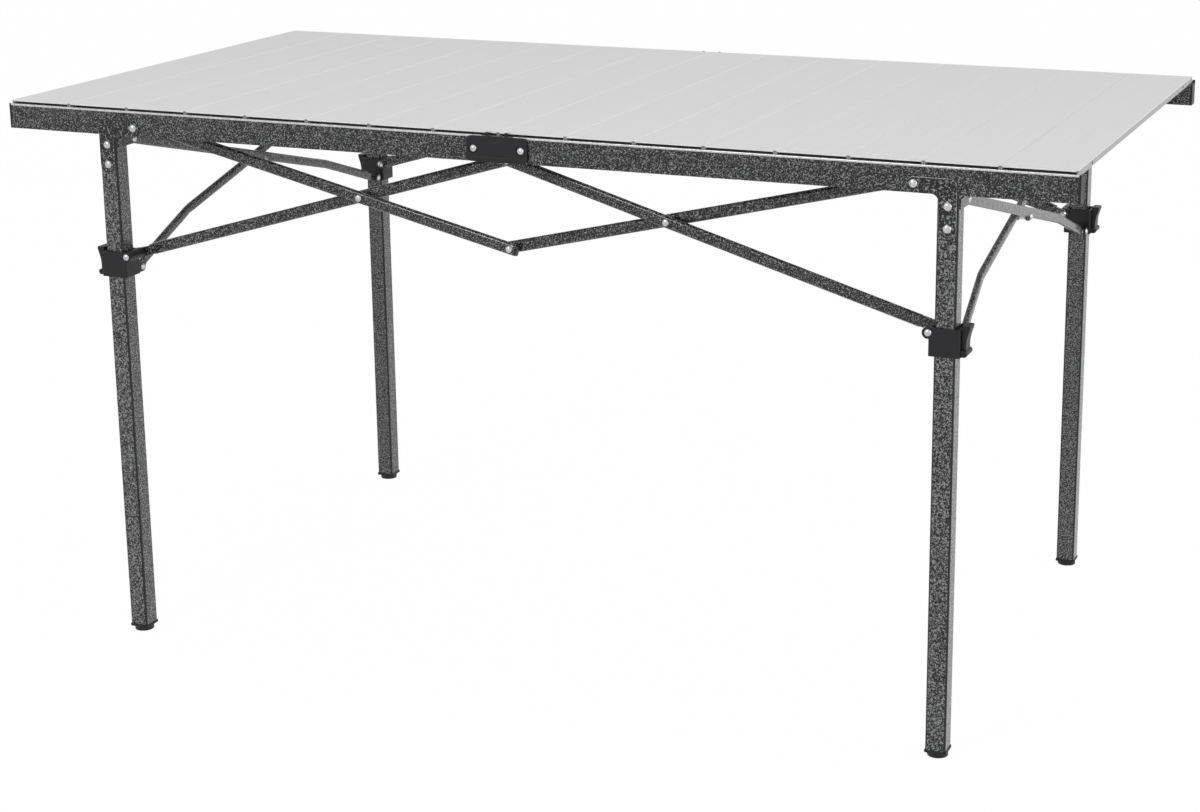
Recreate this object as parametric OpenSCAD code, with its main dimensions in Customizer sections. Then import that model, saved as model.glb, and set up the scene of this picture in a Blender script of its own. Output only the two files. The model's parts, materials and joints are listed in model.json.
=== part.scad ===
// Roll top camp table: loose aluminium slats on two cords lie on a steel frame that folds like a concertina.
// Millimetres. X runs along the table, Y from front to back, Z up.
// The origin is on the floor under the middle.

/* [Table] */
// Length of a rail with its end caps
table_length = 1397; // [1250:1:1550]
// Depth over the outer faces of the legs
table_depth = 711; // [620:1:800]
// Height of the slats' upper face
table_height = 711; // [640:1:760]

/* [Roll top] */
// Thickness of a slat
slat_thick = 7.75; // [6:0.05:10]
// Wall of the slat extrusion
slat_wall = 1.2; // [0.8:0.1:1.8]
// Gap between two slats
slat_gap = 0.6; // [0.4:0.1:1.5]
// Distance from the end of the rail to the first slat
slat_inset = 3.5; // [2:0.5:12]
// Gap between a slat's open end and the rail's lip
slat_end_gap = 0.5; // [0.3:0.1:1.5]
// Gap between the slats and the ledge that they lie on
slat_seat_gap = 0.25; // [0.2:0.05:0.5]
// Diameter of the elastic cord that strings the slats
cord_d = 3.6; // [2:0.1:4]
// Distance from the cord to the open end of the slat
cord_inset = 70; // [40:1:120]

/* [Rails] */
// Height of the rail's tube, up to the ledge
rail_height = 28.5; // [24:0.5:34]
// Depth of the rail
rail_depth = 20; // [18:0.5:21]
// Wall of the rail
rail_wall = 1.5; // [1.2:0.1:2.5]
// Height of the lip above the ledge
lip_height = 3.5; // [2:0.25:5]
// Thickness of the lip
lip_thick = 1.8; // [1.2:0.1:2.5]
// Thickness of the cap on the rail's outer end
rail_cap = 2.5; // [1.5:0.5:5]
// Gap between the rail and the corner plate it turns behind
rail_face_gap = 0.3; // [0.2:0.1:0.6]

/* [Legs] */
// Side of the square leg tube
leg_size = 25; // [22:0.5:26]
// Wall of the leg tube
leg_wall = 1.5; // [1:0.1:2.5]
// Outer corner radius of the leg tube
leg_corner = 2.5; // [1.5:0.5:4]
// Distance from the end of the rail to the middle of the leg
leg_inset = 147.5; // [120:0.5:180]
// Height of the foot under the tube
foot_height = 9; // [7:0.5:14]
// Height of the foot's square flange
foot_flange = 3; // [2:0.5:4]
// Diameter of the foot's disc
foot_d = 25; // [20:0.5:27]

/* [Corner plates] */
// Thickness of the plate
plate_thick = 2; // [1.5:0.1:3]
// Width of the arm on the leg
plate_leg_arm = 21; // [18:0.5:22]
// Width of the arm on the rail
plate_rail_arm = 16; // [14:0.5:18]
// Distance from the middle of the leg to the rail's pivot
pivot_inset = 40; // [36:0.5:46]
// Height of the rail's pivot over the rail's underside
pivot_rise = 10.5; // [9:0.5:13]
// Drop from the top of the leg to the upper leg rivet
leg_rivet_drop = 13; // [12:0.5:16]
// Distance between the two leg rivets
leg_rivet_pitch = 25.5; // [20:0.5:32]

/* [Centre knuckle] */
// Length of the knuckle's face plate
knuckle_length = 80; // [74:1:90]
// Thickness of the face plate
knuckle_thick = 3; // [2:0.5:4]
// Distance from the middle to a knuckle pivot
knuckle_pin = 31; // [29:0.5:34]
// Half length of the block between the rails
knuckle_block = 10; // [8:0.5:11]
// Length of rail past its knuckle pivot
rail_overrun = 10; // [7:0.5:11]

/* [Scissor bars] */
// Height of a bar's oval tube
bar_height = 15; // [12:0.5:15]
// Thickness of a bar's oval tube
bar_thick = 9; // [7:0.5:9]
// Wall of a bar's tube
bar_wall = 1.2; // [0.8:0.1:1.6]
// Distance from the middle of the table to the crossing of the bars
cross_x = 204.5; // [180:0.5:230]
// Drop from the rail's pivot to the crossing
cross_drop = 72.5; // [60:0.5:80]
// Drop from the rail's pivot to the slider's pivot
slider_drop = 168.9; // [150:0.1:190]
// Distance from the middle of the leg to the slider's pivot
slider_pin_inset = 19; // [18:0.5:21]
// Gap between the rail and the outer layer of bars
layer_rail_gap = 3; // [2.7:0.1:4]
// Gap between the two layers of bars
layer_gap = 1; // [0.4:0.1:1.5]

/* [End bars] */
// Height of an end bar's oval tube
end_bar_height = 13; // [10:0.5:13]
// Thickness of an end bar
end_bar_thick = 8; // [6:0.5:8]
// Thickness of an end bar's flat eye
end_eye_thick = 4; // [3:0.5:4.5]
// Drop from the top of the leg to the end bar's upper pivot
end_pin_drop = 10.5; // [9:0.5:16]
// Distance from the leg's inner face to the end bars' pivots
end_pin_inset = 13.4; // [12:0.1:18]
// Distance from an end bar's bend to its lower pivot
bend_run = 150; // [100:5:200]
// Height of the bend over the straight line between the pivots
bend_rise = 8; // [4:0.5:9]
// Sideways offset of the outer end bar from the middle of the leg
outer_bar_x = 7.4; // [6.5:0.1:7.4]
// Sideways offset of the inner end bar from the middle of the leg
inner_bar_x = -6.5; // [-8:0.1:-6]

/* [Sliders] */
// Height of a slider
slider_height = 33; // [28:0.5:36]
// Height of the slider's top over its bar pivot
slider_over_pin = 6; // [4:0.5:8]
// Wall of the slider's collar
slider_wall = 3; // [2:0.25:3.5]
// Running gap at the collar's front and back
slider_gap = 0.4; // [0.3:0.05:0.6]
// Running gap at the collar's two sides
slider_side_gap = 2.9; // [2.8:0.1:3.4]
// Width of the snap lever
lever_width = 18; // [12:0.5:19]
// Thickness of the snap lever
lever_thick = 3; // [2:0.25:3.5]
// Height of the snap lever over the slider's top
lever_over = 4; // [1:0.5:8]

/* [Rivets] */
// Radius of a rivet's shank
rivet_r = 2.5; // [2:0.1:2.8]
// Radius of a rivet's head
rivet_head_r = 4.4; // [3.5:0.1:5]
// Height of a rivet's domed head
rivet_head_h = 2.4; // [1.5:0.1:3]
// Gap round a shank that turns in its hole
pin_gap = 0.1; // [0.05:0.01:0.2]
// Gap round the shank of a slider's ear rivet, in the eye of an end bar
open_pin_gap = 0.8; // [0.6:0.1:1]
// Side gap of an end bar's eye on a slider's ear
open_ear_gap = 3; // [2.8:0.1:3.2]

/* [Hidden] */
$fn = 48;
slat_count = 16;

left = -1;
right = 1;
front = -1;
rear = 1;
slack = 0.05;
play = 0.3;
ear_gap = 1;
steel_paint = "#3f4043";
black_plastic = "#1d1d20";
bright_steel = "#d0d2d4";
aluminium = "#d4d4d2";

// Places along the table
half_length = table_length / 2;
leg_x = half_length - leg_inset;
pivot_x = leg_x - pivot_inset;
slider_pin_x = leg_x - slider_pin_inset;
rail_in = knuckle_pin - rail_overrun;
rail_out = half_length - rail_cap;

// Places from front to back
leg_face = table_depth / 2;
leg_y = leg_face - leg_size / 2;
leg_back = leg_face - leg_size;
rail_face = leg_face - rail_face_gap;
rail_back = rail_face - rail_depth;
layer_1 = rail_back - layer_rail_gap - bar_thick / 2;
layer_2 = layer_1 - bar_thick - layer_gap;
end_pin_y = leg_back - end_pin_inset;
slat_half = rail_face - lip_thick - slat_end_gap;

// Heights
ledge_z = table_height - slat_thick - slat_seat_gap;
rail_z = ledge_z - rail_height;
lip_z = ledge_z + lip_height;
pivot_z = rail_z + pivot_rise;
cross_z = pivot_z - cross_drop;
slider_pin_z = pivot_z - slider_drop;
slider_top = slider_pin_z + slider_over_pin;
slider_bottom = slider_top - slider_height;
end_pin_z = rail_z - end_pin_drop;
end_foot_z = end_pin_z - slider_drop;
knuckle_z = rail_z + (rail_height + lip_height) / 2;

// Scissor bars: lengths and slopes from the pivots that they join
low_slope = atan2(cross_drop, pivot_x - cross_x);
low_cross = norm([pivot_x - cross_x, cross_drop]);
low_length = pivot_x / cos(low_slope);
high_slope = atan2(cross_z - slider_pin_z, slider_pin_x - cross_x);
high_cross = norm([slider_pin_x - cross_x, cross_z - slider_pin_z]);
high_length = slider_pin_x / cos(high_slope);
end_chord = norm([2 * end_pin_y, slider_drop]);
end_slope = atan2(slider_drop, 2 * end_pin_y);

// Collar of a slider
collar_x = leg_size / 2 + slider_side_gap + slider_wall;
collar_y = leg_size / 2 + slider_gap + slider_wall;
collar_back = leg_y - collar_y;
ear_x = outer_bar_x + end_eye_thick / 2 + open_ear_gap;
ear_thick = 3;
ear_r = 6;
eye_r = 6;
lobe_r = 7;
lever_pin_r = 1.6;
lever_boss_r = 3.6;
lever_pin_x = collar_x + lever_boss_r + 0.5;
lever_pin_z = slider_bottom + lever_boss_r + 1;
cheek = 3;
eye_thick = 5;
eye_gap = 0.5;
bar_run_out = 8;
spacer_wall = 2;

// Front face of the eye of a high bar, behind the collar
function high_eye_front(outer) = outer ? collar_back - eye_gap : layer_2 + bar_thick / 2 + eye_gap;

// Middle plane of the eyes that turn on the front legs' ears
leg_eye_x = leg_size / 2 - ear_gap - end_eye_thick / 2;
// Inner face of the ear on a front or a rear leg
function ear_inner(face) = face == front ? leg_size / 2 : inner_bar_x + end_eye_thick / 2 + ear_gap / 2;

// A flat shape with rounded corners
module rounded_rect(w, h, r) {
  square([w - 2 * r, h], center = true);
  square([w, h - 2 * r], center = true);
  for (x = [-1, 1], y = [-1, 1])
    translate([x * (w / 2 - r), y * (h / 2 - r)]) circle(r);
}

// A flat oval, thick across and high
module oval(thick, high) {
  square([thick, high - thick], center = true);
  for (y = [-1, 1])
    translate([0, y * (high - thick) / 2]) circle(thick / 2);
}

// Turns a drawing of Y and Z into a solid along X
module along_x(length) {
  rotate([90, 0, 90]) linear_extrude(length) children();
}

// Turns a drawing of X and Z into a solid that reaches back along Y from y
module from_y(y, length) {
  translate([0, y + length, 0]) rotate([90, 0, 0]) linear_extrude(length) children();
}

// A round bar along Y from y_0 to y_1
module y_rod(r, y_0, y_1) {
  translate([0, y_1, 0]) rotate([90, 0, 0]) cylinder(h = y_1 - y_0, r = r);
}

// A round bar along X from x_0 to x_1
module x_rod(r, x_0, x_1) {
  translate([x_0, 0, 0]) rotate([0, 90, 0]) cylinder(h = x_1 - x_0, r = r);
}

// A domed rivet head on the XY plane
module rivet_head() {
  dome_r = (pow(rivet_head_r, 2) + pow(rivet_head_h, 2)) / (2 * rivet_head_h);
  rotate_extrude() intersection() {
    translate([0, rivet_head_h - dome_r]) circle(dome_r, $fn = 96);
    square([rivet_head_r, rivet_head_h]);
  }
}

// A rivet along Y, its head in front of y_0 and its tail behind y_1
module y_rivet(y_0, y_1, head = true, tail = true) {
  y_rod(rivet_r, y_0, y_1);
  if (head) translate([0, y_0, 0]) rotate([90, 0, 0]) rivet_head();
  if (tail) translate([0, y_1, 0]) rotate([-90, 0, 0]) rivet_head();
}

// A rivet along X, its head past x_1 and its tail before x_0
module x_rivet(x_0, x_1) {
  x_rod(rivet_r, x_0, x_1);
  translate([x_1, 0, 0]) rotate([0, 90, 0]) rivet_head();
  translate([x_0, 0, 0]) rotate([0, -90, 0]) rivet_head();
}

// A loose sleeve on a rivet along Y
module spacer(y_0, y_1) {
  difference() {
    y_rod(rivet_r + spacer_wall, y_0, y_1);
    y_rod(rivet_r + slack, y_0 - 1, y_1 + 1);
  }
}

// Puts a front left piece at another corner
module at_corner(side, face) {
  mirror([side == right ? 1 : 0, 0, 0]) mirror([0, face == rear ? 1 : 0, 0]) children();
}

// Puts a front piece at the front or at the rear
module at_face(face) {
  mirror([0, face == rear ? 1 : 0, 0]) children();
}

// Square tube, drilled for its two rivets
module leg(side, face) {
  color(steel_paint) at_corner(side, face) translate([-leg_x, -leg_y, 0]) difference() {
    translate([0, 0, foot_height]) linear_extrude(rail_z - foot_height) difference() {
      rounded_rect(leg_size, leg_size, leg_corner);
      rounded_rect(leg_size - 2 * leg_wall, leg_size - 2 * leg_wall, leg_corner - leg_wall / 2);
    }
    for (i = [0, 1])
      translate([0, 0, rail_z - leg_rivet_drop - i * leg_rivet_pitch])
        y_rod(rivet_r + slack, -leg_size, 0);
  }
}

// Moulded foot: a plug in the tube, a square flange and a disc on the floor
module foot(side, face) {
  plug = leg_size - 2 * leg_wall - 2 * slack;
  color(black_plastic) at_corner(side, face) translate([-leg_x, -leg_y, 0]) {
    cylinder(h = foot_height - foot_flange, d = foot_d);
    translate([0, 0, foot_height - foot_flange]) linear_extrude(foot_flange)
      rounded_rect(leg_size + 2, leg_size + 2, leg_corner);
    translate([0, 0, foot_height]) linear_extrude(leg_size)
      rounded_rect(plug, plug, leg_corner - leg_wall / 2);
  }
}

// Outline of the corner plate, from the middle of the leg at the rail's underside
module plate_outline() {
  half = plate_leg_arm / 2;
  arm = plate_rail_arm / 2;
  foot_z = -leg_rivet_drop - leg_rivet_pitch;
  fillet = 5;
  corner = half - 1;
  translate([-half, foot_z]) square([plate_leg_arm, pivot_rise + arm - corner - foot_z]);
  translate([-half + corner, pivot_rise - arm]) square([pivot_inset + half - corner, plate_rail_arm]);
  translate([-half + corner, pivot_rise + arm - corner]) circle(corner);
  translate([0, foot_z]) circle(half);
  translate([pivot_inset, pivot_rise]) circle(arm);
  difference() {
    translate([half, pivot_rise - arm - fillet]) square(fillet);
    translate([half + fillet, pivot_rise - arm - fillet]) circle(fillet);
  }
}

// L-shaped plate on the outer face of the leg, and the ear that carries an end bar
module corner_plate(side, face) {
  ear_in = ear_inner(face);
  ear_root = face == front ? leg_size - 4 : 0;
  color(steel_paint) {
    at_corner(side, face) translate([-leg_x, -leg_face - plate_thick, rail_z]) difference() {
      from_y(0, plate_thick) plate_outline();
      for (i = [0, 1])
        translate([0, 0, -leg_rivet_drop - i * leg_rivet_pitch]) y_rod(rivet_r + slack, -1, plate_thick + 1);
      translate([pivot_inset, 0, pivot_rise]) y_rod(rivet_r + slack, -1, plate_thick + 1);
    }
    translate([side * leg_x + ear_in, 0, end_pin_z]) at_face(face) difference() {
      along_x(plate_thick) {
        translate([-leg_back - ear_root, -ear_r]) square([ear_root + end_pin_inset, 2 * ear_r]);
        translate([-end_pin_y, 0]) circle(ear_r);
      }
      translate([0, -end_pin_y, 0]) x_rod(rivet_r + slack, -1, plate_thick + 1);
    }
  }
}

// Two blind rivets in the leg's wall, the rivet on which rail and low bar turn, and the end bar's rivet
module leg_rivets(side, face) {
  bar_back = side == left ? layer_1 - bar_thick / 2 : layer_2 - bar_thick / 2;
  bar_front = side == left ? layer_1 + bar_thick / 2 : layer_2 + bar_thick / 2;
  ear_far = ear_inner(face) + plate_thick;
  eye_x = (face == front ? leg_eye_x : inner_bar_x) - end_eye_thick / 2;
  color(bright_steel) {
    at_corner(side, face) {
      for (i = [0, 1])
        translate([-leg_x, 0, rail_z - leg_rivet_drop - i * leg_rivet_pitch])
          y_rivet(-leg_face - plate_thick, -leg_face + leg_wall + slack);
      translate([-pivot_x, 0, pivot_z]) {
        y_rivet(-leg_face - plate_thick, -bar_back + play);
        spacer(-rail_back + play, -bar_front - play);
      }
    }
    translate([side * leg_x, 0, end_pin_z]) at_face(face) translate([0, -end_pin_y, 0])
      x_rivet(eye_x - play, ear_far);
  }
}

// Section of a rail: a tube with a ledge for the slats behind a raised lip
module rail_section() {
  difference() {
    union() {
      square([rail_depth, rail_height]);
      square([lip_thick, rail_height + lip_height - lip_thick / 2]);
      translate([lip_thick / 2, rail_height + lip_height - lip_thick / 2]) circle(lip_thick / 2);
    }
    translate([rail_wall, rail_wall]) square([rail_depth - 2 * rail_wall, rail_height - 2 * rail_wall]);
  }
}

// Half of a rail, from the knuckle past the leg to its capped outer end
module rail(side, face) {
  at_corner(side, face) {
    color(steel_paint) difference() {
      translate([-rail_out, -rail_face, rail_z]) along_x(rail_out - rail_in) rail_section();
      for (hole = [[-pivot_x, pivot_z], [-knuckle_pin, knuckle_z]])
        translate([hole[0], 0, hole[1]]) y_rod(rivet_r + pin_gap, -rail_face - 1, -rail_back + 1);
    }
    color(black_plastic) {
      translate([-half_length, -rail_face, rail_z]) along_x(rail_cap - slack) {
        square([rail_depth, rail_height]);
        square([lip_thick, rail_height + lip_height]);
      }
      translate([-rail_out - 1, -rail_face + rail_wall + slack, rail_z + rail_wall + slack])
        cube([16, rail_depth - 2 * rail_wall - 2 * slack, rail_height - 2 * rail_wall - 2 * slack]);
    }
  }
}

// Moulded double hinge between two rail halves: a face plate, a block and two tabs that stop the slats
module knuckle(face) {
  plate_h = rail_height + lip_height - 1;
  boss_h = plate_h + 2;
  tab = [4, 5];
  tab_x = 12.5;
  end_r = 3;
  color(black_plastic) at_face(face) difference() {
    union() {
      translate([0, 0, knuckle_z]) from_y(-leg_face - knuckle_thick, knuckle_thick)
        rounded_rect(knuckle_length, plate_h, end_r);
      translate([0, 0, knuckle_z - plate_h / 2]) from_y(-leg_face - knuckle_thick - 1.5, knuckle_thick + 1.5)
        translate([-tab_x - tab[0] / 2, 0]) square([2 * tab_x + tab[0], boss_h]);
      for (x = [-1, 1])
        translate([x * tab_x, 0, knuckle_z - plate_h / 2]) from_y(-leg_face - knuckle_thick, knuckle_thick)
          translate([-tab[0] / 2, 0]) square([tab[0], boss_h + tab[1] - 2]);
      translate([-knuckle_block, -leg_face, rail_z + 1])
        cube([2 * knuckle_block, rail_depth, rail_height - 2]);
    }
    for (x = [-1, 1])
      translate([x * knuckle_pin, 0, knuckle_z])
        y_rod(rivet_r + slack, -leg_face - 2 * knuckle_thick, -rail_back);
  }
}

// The two rivets on which the rail halves turn
module knuckle_rivets(face) {
  color(bright_steel) at_face(face) for (x = [-1, 1])
    translate([x * knuckle_pin, 0, knuckle_z]) {
      y_rivet(-leg_face - knuckle_thick, -rail_back + 0.2, tail = false);
      translate([0, -rail_back + 0.2, 0]) rotate([-90, 0, 0]) cylinder(h = 1.2, r = rivet_head_r);
    }
}

// Oval tube from x_0 to x_1 along a bar, with rivet holes of given gaps
module bar_tube(thick, high, wall, x_0, x_1, holes) {
  difference() {
    translate([x_0, 0, 0]) along_x(x_1 - x_0) difference() {
      oval(thick, high);
      oval(thick - 2 * wall, high - 2 * wall);
    }
    for (hole = holes)
      translate([hole[0], 0, 0]) y_rod(rivet_r + hole[1], -thick, thick);
  }
}

// Half of the rivet at a centre pivot, which comes apart where the two bars meet
module centre_rivet(outer) {
  seat = bar_thick / 2 + slack;
  half = bar_thick / 2 + layer_gap / 2 - slack;
  y_rivet(outer ? -seat : -half, outer ? half : seat, head = outer, tail = !outer);
}

// Moulded plug that closes the end of a bar
module bar_plug(length) {
  inset = 2 * bar_wall + 2 * slack;
  translate([slack, 0, 0]) along_x(length) oval(bar_thick - bar_wall, bar_height - bar_wall);
  translate([-5, 0, 0]) along_x(5 + 2 * slack) oval(bar_thick - inset, bar_height - inset);
}

// Low bar: from the rail's pivot down through the crossing to the lower centre pivot
module low_bar(side, face) {
  outer = side == left;
  y = outer ? layer_1 : layer_2;
  near_seat = bar_thick / 2 + slack;
  far_seat = 1.5 * bar_thick + layer_gap + slack;
  cross_front = outer ? -near_seat : -far_seat;
  cross_back = outer ? far_seat : near_seat;
  at_corner(side, face) translate([-pivot_x, -y, pivot_z]) rotate([0, low_slope, 0]) {
    color(steel_paint)
      bar_tube(bar_thick, bar_height, bar_wall, -bar_run_out, low_length + bar_run_out,
        [[0, pin_gap], [low_cross, slack], [low_length, slack]]);
    color(black_plastic) translate([low_length + bar_run_out, 0, 0]) bar_plug(2.5);
    color(black_plastic) translate([-bar_run_out, 0, 0]) rotate([0, 0, 180]) bar_plug(1.5);
    color(bright_steel) translate([low_cross, 0, 0]) y_rivet(cross_front, cross_back);
    color(bright_steel) translate([low_length, 0, 0]) centre_rivet(outer);
  }
}

// High bar: from the slider's pivot up through the crossing to the upper centre pivot
module high_bar(side, face) {
  outer = side == right;
  y = outer ? layer_1 : layer_2;
  tube_in = 17;
  eye_front = high_eye_front(outer);
  eye_y = y - eye_front;
  inset = 2 * bar_wall + 2 * slack;
  at_corner(side, face) translate([-slider_pin_x, -y, slider_pin_z]) rotate([0, -high_slope, 0]) {
    color(steel_paint)
      bar_tube(bar_thick, bar_height, bar_wall, tube_in, high_length + bar_run_out,
        [[high_cross, pin_gap], [high_length, slack]]);
    color(black_plastic) translate([high_length + bar_run_out, 0, 0]) bar_plug(2.5);
    color(black_plastic) difference() {
      union() {
        translate([0, eye_y, 0]) y_rod(eye_r, 0, eye_thick);
        translate([0, eye_y, -eye_r + 0.5]) cube([tube_in - 1, eye_thick, 2 * eye_r - 1]);
        translate([tube_in - 5, 0, 0]) along_x(5 - slack) oval(bar_thick - bar_wall, bar_height - bar_wall);
        translate([tube_in - 1, 0, 0]) along_x(9) oval(bar_thick - inset, bar_height - inset);
      }
      translate([0, eye_y, 0]) y_rod(rivet_r + pin_gap, -1, eye_thick + 1);
    }
    color(bright_steel) translate([high_length, 0, 0]) centre_rivet(outer);
  }
}

// An end bar along +X of its own frame, from its upper pivot to its lower one, bent on the upper side
module end_bar_shape(upper_y, lower_y, tube_upper_y, tube_lower_y, mid_hole) {
  eye_run = 14;
  elbow = 0.4;
  bend_x = end_chord - bend_run;
  rise_a = atan2(bend_rise, bend_x);
  rise_b = atan2(bend_rise, bend_run);
  jog = atan2(tube_upper_y - tube_lower_y, bend_run);
  long = norm([bend_x, bend_rise]);
  short = norm([bend_run, bend_rise, tube_upper_y - tube_lower_y]);
  difference() {
    union() {
      translate([0, tube_upper_y, 0]) rotate([0, -rise_a, 0]) translate([eye_run, 0, 0])
        along_x(long - eye_run) oval(end_bar_thick, end_bar_height);
      translate([bend_x, tube_upper_y, bend_rise])
        y_rod(end_bar_height / 2 + elbow, -end_bar_thick / 2 - 2 * slack, end_bar_thick / 2 + 2 * slack);
      translate([end_chord, tube_lower_y, 0]) rotate([0, 0, 180 - jog]) rotate([0, -rise_b, 0])
        translate([eye_run, 0, 0]) along_x(short - eye_run)
          oval(end_bar_thick - 2 * slack, end_bar_height - 2 * slack);
      for (eye = [[0, upper_y, tube_upper_y, 1], [end_chord, lower_y, tube_lower_y, -1]])
        translate([eye[0], eye[1], 0]) {
          y_rod(eye_r, -end_eye_thick / 2, end_eye_thick / 2);
          translate([eye[3] > 0 ? 0 : -eye_run - 2, -end_eye_thick / 2, -eye_r])
            cube([eye_run + 2, end_eye_thick, 2 * eye_r]);
        }
      translate([end_chord / 2, tube_upper_y, 0]) y_rod(eye_r, 1 - end_bar_thick / 2, end_bar_thick / 2 - 1);
    }
    translate([0, upper_y, 0]) y_rod(rivet_r + pin_gap, -end_bar_thick, end_bar_thick);
    translate([end_chord, lower_y, 0]) y_rod(rivet_r + open_pin_gap, -end_bar_thick, end_bar_thick);
    translate([end_chord / 2, tube_upper_y, 0]) y_rod(rivet_r + mid_hole, -end_bar_thick, end_bar_thick);
  }
}

// Outer end bar: from the front leg's ear to the rear slider's ear, with the rivet of the crossing
module outer_end_bar(side) {
  translate([side * leg_x, -end_pin_y, end_pin_z]) rotate([-end_slope, 0, 0]) rotate([0, 0, 90]) {
    color(steel_paint) end_bar_shape(-leg_eye_x, -outer_bar_x, -outer_bar_x, -outer_bar_x, slack);
    color(bright_steel) translate([end_chord / 2, 0, 0]) {
      y_rivet(-outer_bar_x - end_bar_thick / 2 - slack, -inner_bar_x + end_bar_thick / 2 + play);
      spacer(-outer_bar_x + end_bar_thick / 2 + slack, -inner_bar_x - end_bar_thick / 2 - play);
    }
  }
}

// Inner end bar: from the rear leg's ear to the front slider's ear, set over at its bend
module inner_end_bar(side) {
  translate([side * leg_x, end_pin_y, end_pin_z]) rotate([end_slope, 0, 0]) rotate([0, 0, -90])
    color(steel_paint) end_bar_shape(inner_bar_x, outer_bar_x, inner_bar_x, outer_bar_x, pin_gap);
}

// Slider: a collar on the leg with a lobe for the high bar, an ear for an end bar and cheeks for the lever
module slider(side, face) {
  bar_eye_back = high_eye_front(side == right) - eye_thick;
  lobe_front = leg_y + collar_y;
  cheek_y = lever_width / 2 + 0.4;
  ear_far = ear_x + ear_thick;
  color(black_plastic) difference() {
    union() {
      at_corner(side, face) translate([-leg_x, -leg_y, slider_bottom]) {
        linear_extrude(slider_height) rounded_rect(2 * collar_x, 2 * collar_y, 2);
        for (y = [-1, 1])
          translate([-lever_pin_x, y * (cheek_y + cheek / 2), lever_boss_r + 1]) {
            y_rod(lever_boss_r, -cheek / 2, cheek / 2);
            translate([0, -cheek / 2, -lever_boss_r])
              cube([lever_pin_x - collar_x + 1, cheek, 2 * lever_boss_r]);
          }
      }
      at_corner(side, face) translate([-slider_pin_x, 0, slider_pin_z]) {
        y_rod(lobe_r, -lobe_front, -collar_back);
        y_rod(rivet_r + spacer_wall, -collar_back - 1, -high_eye_front(side == right) - eye_gap);
      }
      translate([side * leg_x + ear_x, 0, end_foot_z]) at_face(face) along_x(ear_thick) {
        translate([-collar_back - 1, -ear_r]) square([collar_back - end_pin_y + 1, 2 * ear_r]);
        translate([-end_pin_y, 0]) circle(ear_r);
      }
    }
    at_corner(side, face) {
      translate([-leg_x, -leg_y, slider_bottom - 10]) linear_extrude(slider_height + 20)
        rounded_rect(leg_size + 2 * slider_side_gap, leg_size + 2 * slider_gap, 1);
      translate([-slider_pin_x, 0, slider_pin_z]) y_rod(rivet_r + slack, -lobe_front - 1, -bar_eye_back);
      translate([-leg_x - lever_pin_x, -leg_y, lever_pin_z])
        y_rod(lever_pin_r + slack, -collar_y, collar_y);
    }
    translate([side * leg_x + ear_x, 0, end_foot_z]) at_face(face) translate([0, -end_pin_y, 0])
      x_rod(rivet_r + slack, -1, ear_thick + 1);
  }
  color(bright_steel) {
    at_corner(side, face) translate([-slider_pin_x, 0, slider_pin_z])
      y_rivet(-lobe_front - slack, -bar_eye_back + play);
    at_corner(side, face) translate([-leg_x - lever_pin_x, -leg_y, lever_pin_z])
      y_rod(lever_pin_r, -cheek_y - cheek + 0.2, cheek_y + cheek - 0.2);
    translate([side * leg_x, 0, end_foot_z]) at_face(face) translate([0, -end_pin_y, 0])
      x_rivet(outer_bar_x - end_eye_thick / 2 - open_ear_gap, ear_far + slack);
  }
}

// Snap lever on the outer side of a slider, flared at its upper end
module lever(side, face) {
  reach = slider_top + lever_over - lever_pin_z;
  flare = 9;
  lean = 30;
  root = 1;
  stem = reach - flare * cos(lean) - root;
  at_corner(side, face) translate([-leg_x - lever_pin_x, -leg_y, lever_pin_z])
    color(black_plastic) difference() {
      union() {
        y_rod(lever_boss_r, -lever_width / 2, lever_width / 2);
        translate([-lever_thick / 2, -lever_width / 2, 0]) cube([lever_thick, lever_width, stem]);
        translate([0, 0, stem]) rotate([0, -lean, 0]) translate([-lever_thick / 2, -lever_width / 2, -root])
          cube([lever_thick, lever_width, flare + root]);
      }
      y_rod(lever_pin_r + pin_gap, -lever_width, lever_width);
    }
}

// Hollow slat with two webs, strung on two cords that pass through its side walls
module slat(i) {
  pitch = (table_length - 2 * slat_inset) / slat_count;
  width = pitch - slat_gap;
  cell = (width - 4 * slat_wall) / 3;
  hollow = slat_thick - 2 * slat_wall;
  cord_gap = 0.3;
  cord_z = slat_thick / 2;
  cord_half = pitch / 2 - 0.1;
  x = -half_length + slat_inset + (i - 0.5) * pitch;
  translate([x, 0, table_height - slat_thick]) {
    color(aluminium) difference() {
      from_y(-slat_half, 2 * slat_half) difference() {
        translate([-width / 2, 0]) square([width, slat_thick]);
        for (k = [-1, 0, 1])
          translate([k * (cell + slat_wall), cord_z]) square([cell, hollow], center = true);
      }
      for (y = [-1, 1])
        translate([0, y * (slat_half - cord_inset), cord_z]) x_rod(cord_d / 2 + cord_gap, -width, width);
    }
    color(black_plastic) for (y = [-1, 1])
      translate([0, y * (slat_half - cord_inset), cord_z]) x_rod(cord_d / 2, -cord_half, cord_half);
  }
}

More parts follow.
